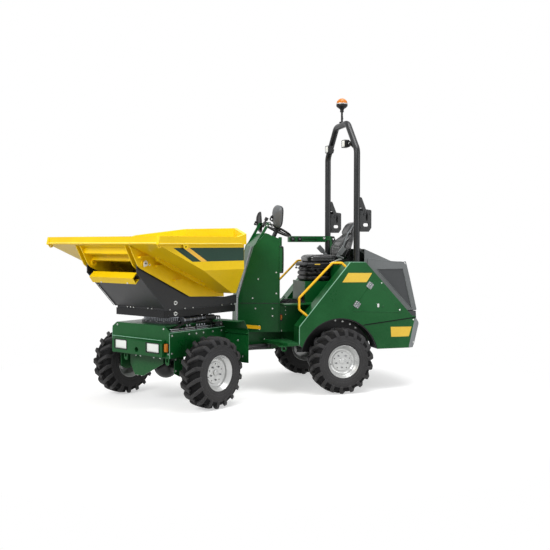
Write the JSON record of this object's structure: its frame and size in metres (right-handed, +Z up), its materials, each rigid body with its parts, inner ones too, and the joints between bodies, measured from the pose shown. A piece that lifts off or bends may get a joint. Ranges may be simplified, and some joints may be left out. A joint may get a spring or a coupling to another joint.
{
  "type": "articulated swivel-skip site dumper",
  "caption": "Articulated electric site dumper with a swivelling, forward-tipping skip ahead of an open operator's platform, folding roll bar and rear hood.",
  "frame": {"origin": "middle of the parked machine's footprint box, on the ground", "axes": "+X forward along the rear half, +Y to its left, +Z up; the front half rests turned 35 degrees left"},
  "size_m": [4.3548, 2.6149, 3.517],
  "materials": {
    "green_paint": "gloss",
    "yellow_paint": "gloss",
    "bare_steel": "satin",
    "black_paint": "satin",
    "grey_paint": "satin",
    "rim_paint": "satin",
    "tyre_rubber": "matte",
    "black_plastic": "matte",
    "seat_vinyl": "satin",
    "lamp_lens": "gloss",
    "chromed_rod": "polished"
  },
  "bodies": {
    "rear_chassis": {"rear_frame": "green_paint", "rear_axle": "black_paint", "platform": "green_paint", "steps": "green_paint", "arch_liners": "black_plastic", "console_tower": "green_paint", "steering_wheel": "black_plastic", "mirrors": "black_plastic", "seat_base": "black_plastic", "seat_cushion": "seat_vinyl", "seat_back": "seat_vinyl", "side_pods": "green_paint", "roll_posts": "black_paint", "counterweight": "grey_paint", "battery": "grey_paint", "grab_rails": "yellow_paint", "control_arm": "green_paint"},
    "roll_bar": {"roll_hoop": "black_paint", "hoop_lamps": "lamp_lens"},
    "rear_hood": {"hood": "grey_paint"},
    "left_hatch": {"hatch_left": "green_paint"},
    "right_hatch": {"hatch_right": "green_paint"},
    "steer_barrel": {"steer_barrel": "black_paint"},
    "steer_rod": {"steer_rod": "chromed_rod"},
    "front_chassis": {"front_frame": "green_paint", "light_box": "green_paint", "front_lamps": "lamp_lens", "front_axle": "black_paint", "slew_drive": "bare_steel"},
    "turntable": {"turntable": "black_paint", "tip_console": "black_paint", "front_guard": "yellow_paint"},
    "tip_barrel": {"tip_barrel": "black_paint"},
    "tip_rod": {"tip_rod": "chromed_rod"},
    "skip": {"skip_shell": "yellow_paint", "skip_frame": "yellow_paint"},
    "wheel_front_left": {"tyre_front_left": "tyre_rubber", "rim_front_left": "rim_paint"},
    "wheel_front_right": {"tyre_front_right": "tyre_rubber", "rim_front_right": "rim_paint"},
    "wheel_rear_left": {"tyre_rear_left": "tyre_rubber", "rim_rear_left": "rim_paint"},
    "wheel_rear_right": {"tyre_rear_right": "tyre_rubber", "rim_rear_right": "rim_paint"}
  },
  "joints": [
    {"name": "roll_front_left", "type": "hinge", "parent": "front_chassis", "child": "wheel_front_left", "pos_m": [0.51781, 0.6389, 0.3825], "axis": [-0.5736, 0.8192, 0], "continuous": true},
    {"name": "roll_front_right", "type": "hinge", "parent": "front_chassis", "child": "wheel_front_right", "pos_m": [1.32196, -0.50955, 0.3825], "axis": [-0.5736, 0.8192, 0], "continuous": true},
    {"name": "roll_rear_left", "type": "hinge", "parent": "rear_chassis", "child": "wheel_rear_left", "pos_m": [-1.087, 0.242, 0.3825], "axis": [0, 1, 0], "continuous": true},
    {"name": "roll_rear_right", "type": "hinge", "parent": "rear_chassis", "child": "wheel_rear_right", "pos_m": [-1.087, -1.16, 0.3825], "axis": [0, 1, 0], "continuous": true},
    {"name": "steer", "type": "hinge", "parent": "rear_chassis", "child": "front_chassis", "pos_m": [0.172, -0.459, 0.56], "axis": [0, 0, 1], "range_deg": [-71, 1]},
    {"name": "slew", "type": "hinge", "parent": "front_chassis", "child": "turntable", "pos_m": [0.83551, 0.0056, 0.964], "axis": [0, 0, 1], "range_deg": [-90, 90]},
    {"name": "tip", "type": "hinge", "parent": "turntable", "child": "skip", "pos_m": [1.49411, 0.46675, 1.543], "axis": [-0.5736, 0.8192, 0], "range_deg": [0, 75]},
    {"name": "tip_barrel_swing", "type": "hinge", "parent": "turntable", "child": "tip_barrel", "pos_m": [0.58158, -0.17221, 1.09], "axis": [-0.5736, 0.8192, 0], "range_deg": [-20.27, 0]},
    {"name": "tip_rod_slide", "type": "slide", "parent": "tip_barrel", "child": "tip_rod", "axis": [0.751, 0.5258, 0.3994], "range_m": [0, 0.4258]},
    {"name": "steer_barrel_swing", "type": "hinge", "parent": "rear_chassis", "child": "steer_barrel", "pos_m": [-0.348, -0.219, 0.52], "axis": [0, 0, 1], "range_deg": [-23.23, 0.62]},
    {"name": "steer_rod_slide", "type": "slide", "parent": "steer_barrel", "child": "steer_rod", "axis": [0.9686, 0.2486, 0], "range_m": [-0.0058, 0.3406]},
    {"name": "hood_lift", "type": "hinge", "parent": "rear_chassis", "child": "rear_hood", "pos_m": [-1.448, -0.459, 1.676], "axis": [0, 1, 0], "range_deg": [0, 50]},
    {"name": "roll_bar_fold", "type": "hinge", "parent": "rear_chassis", "child": "roll_bar", "pos_m": [-1.468, -0.459, 2.12], "axis": [0, -1, 0], "range_deg": [0, 95]},
    {"name": "left_hatch_open", "type": "hinge", "parent": "rear_chassis", "child": "left_hatch", "pos_m": [-1.51, 0.239, 1.321], "axis": [0.5879, 0, -0.8089], "range_deg": [0, 100]},
    {"name": "right_hatch_open", "type": "hinge", "parent": "rear_chassis", "child": "right_hatch", "pos_m": [-1.51, -1.157, 1.321], "axis": [-0.5879, 0, 0.8089], "range_deg": [0, 100]}
  ],
  "couplings": [
    {"joint": "tip_barrel_swing", "follows": "tip", "ratio": -0.26365},
    {"joint": "tip_rod_slide", "follows": "tip", "m_per_rad": 0.32377},
    {"joint": "steer_barrel_swing", "follows": "steer", "ratio": 0.32303},
    {"joint": "steer_rod_slide", "follows": "steer", "m_per_rad": -0.27323}
  ]
}
